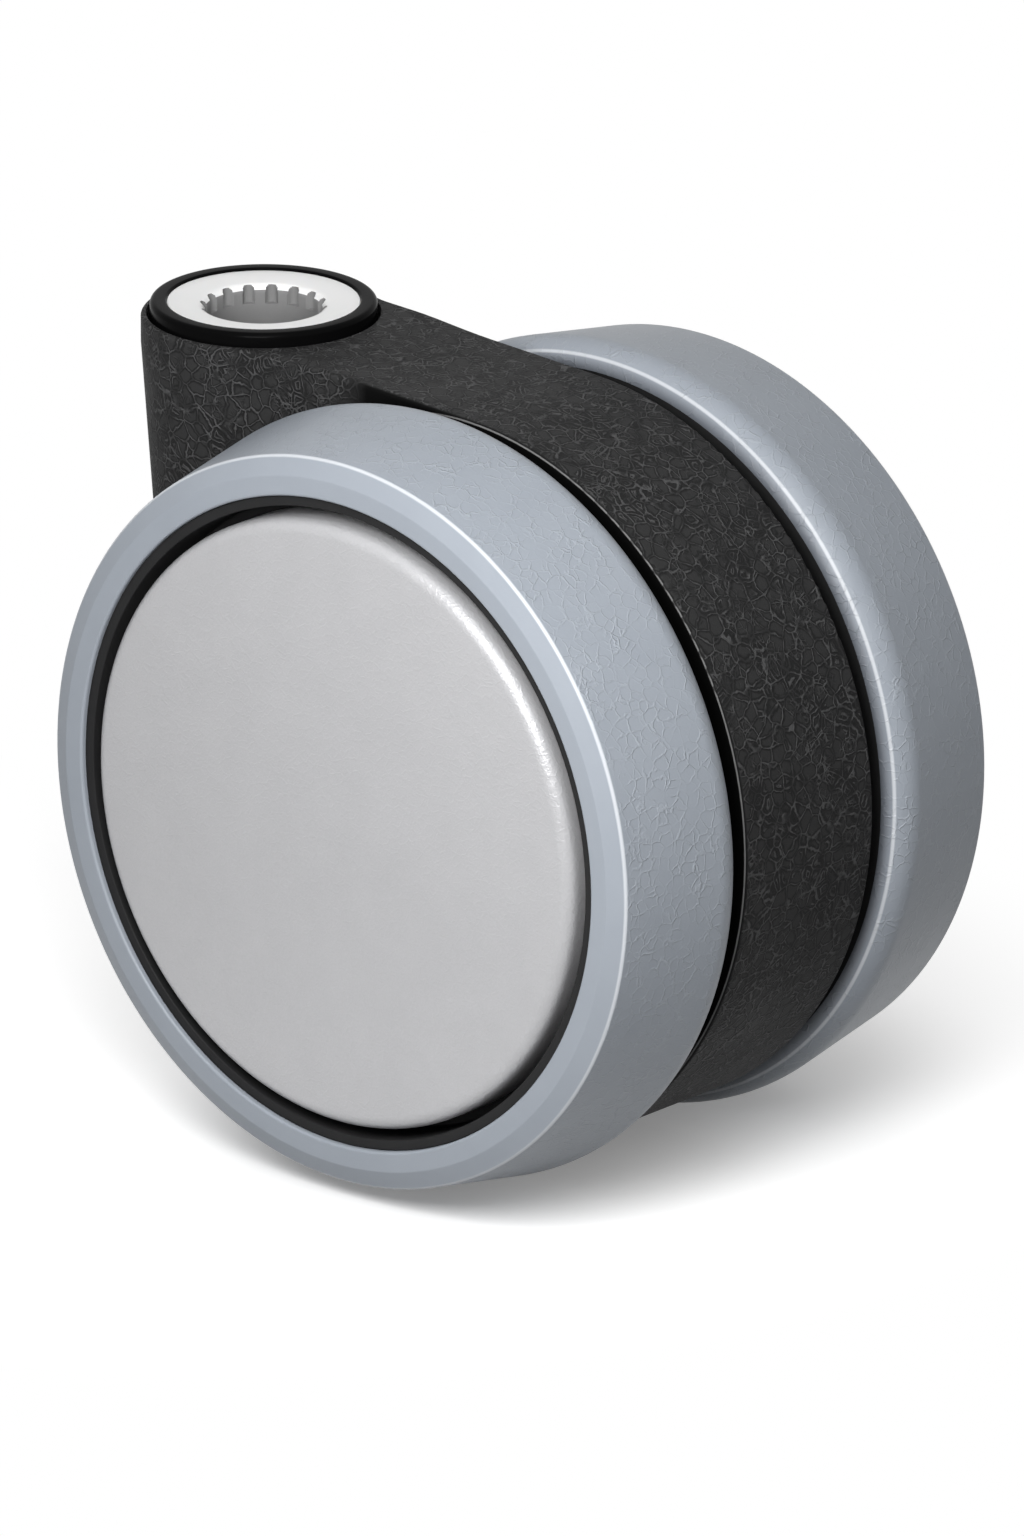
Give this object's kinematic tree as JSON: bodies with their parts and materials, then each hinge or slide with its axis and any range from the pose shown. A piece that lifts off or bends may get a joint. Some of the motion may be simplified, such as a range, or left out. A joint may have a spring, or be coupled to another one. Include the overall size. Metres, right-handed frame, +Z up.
{
  "type": "twin wheel caster",
  "caption": "Swivel caster with grey soft treads and silver caps on either side of a black grained drum housing, taking a push-in stem.",
  "frame": {"origin": "on the swivel axis, where the straight wall of the stem bore begins, 74.5 mm above the floor", "axes": "+Z up along the swivel axis and out of the bore's mouth, +X towards the trailing wheels' axle, +Y along the axle towards the right wheel"},
  "size_m": [0.0813, 0.0548, 0.0759],
  "materials": {
    "white_plastic": "satin, moulded",
    "gloss_black": "polished, moulded",
    "steel": "bright, turned",
    "bearing_plastic": "satin, moulded",
    "grained_black": "fine leather grain",
    "rim_black": "satin, moulded",
    "soft_grey": "soft sheen, faint grain",
    "satin_silver": "satin silver lacquer"
  },
  "bodies": {
    "socket": {"socket_bush": "white_plastic", "swivel_collar": "gloss_black", "kingpin_sleeve": "steel", "sleeve_ring": "steel"},
    "housing": {"housing": "grained_black", "swivel_bush_upper": "bearing_plastic", "swivel_bush_lower": "bearing_plastic", "swivel_washer": "steel", "boss_plug": "grained_black", "axle": "steel", "axle_clip_left": "steel", "axle_clip_right": "steel", "hub_washer_left": "bearing_plastic", "hub_washer_right": "bearing_plastic"},
    "wheel_left": {"tread_left": "soft_grey", "rim_left": "rim_black", "cap_left": "satin_silver", "wheel_bush_left": "bearing_plastic"},
    "wheel_right": {"tread_right": "soft_grey", "rim_right": "rim_black", "cap_right": "satin_silver", "wheel_bush_right": "bearing_plastic"}
  },
  "joints": [
    {"name": "swivel", "type": "hinge", "parent": "socket", "child": "housing", "pos_m": [0, 0, 0], "axis": [0, 0, 1], "continuous": true},
    {"name": "wheel_left_spin", "type": "hinge", "parent": "housing", "child": "wheel_left", "pos_m": [0.0322, 0, -0.03701], "axis": [0, 1, 0], "continuous": true},
    {"name": "wheel_right_spin", "type": "hinge", "parent": "housing", "child": "wheel_right", "pos_m": [0.0322, 0, -0.03701], "axis": [0, 1, 0], "continuous": true}
  ]
}
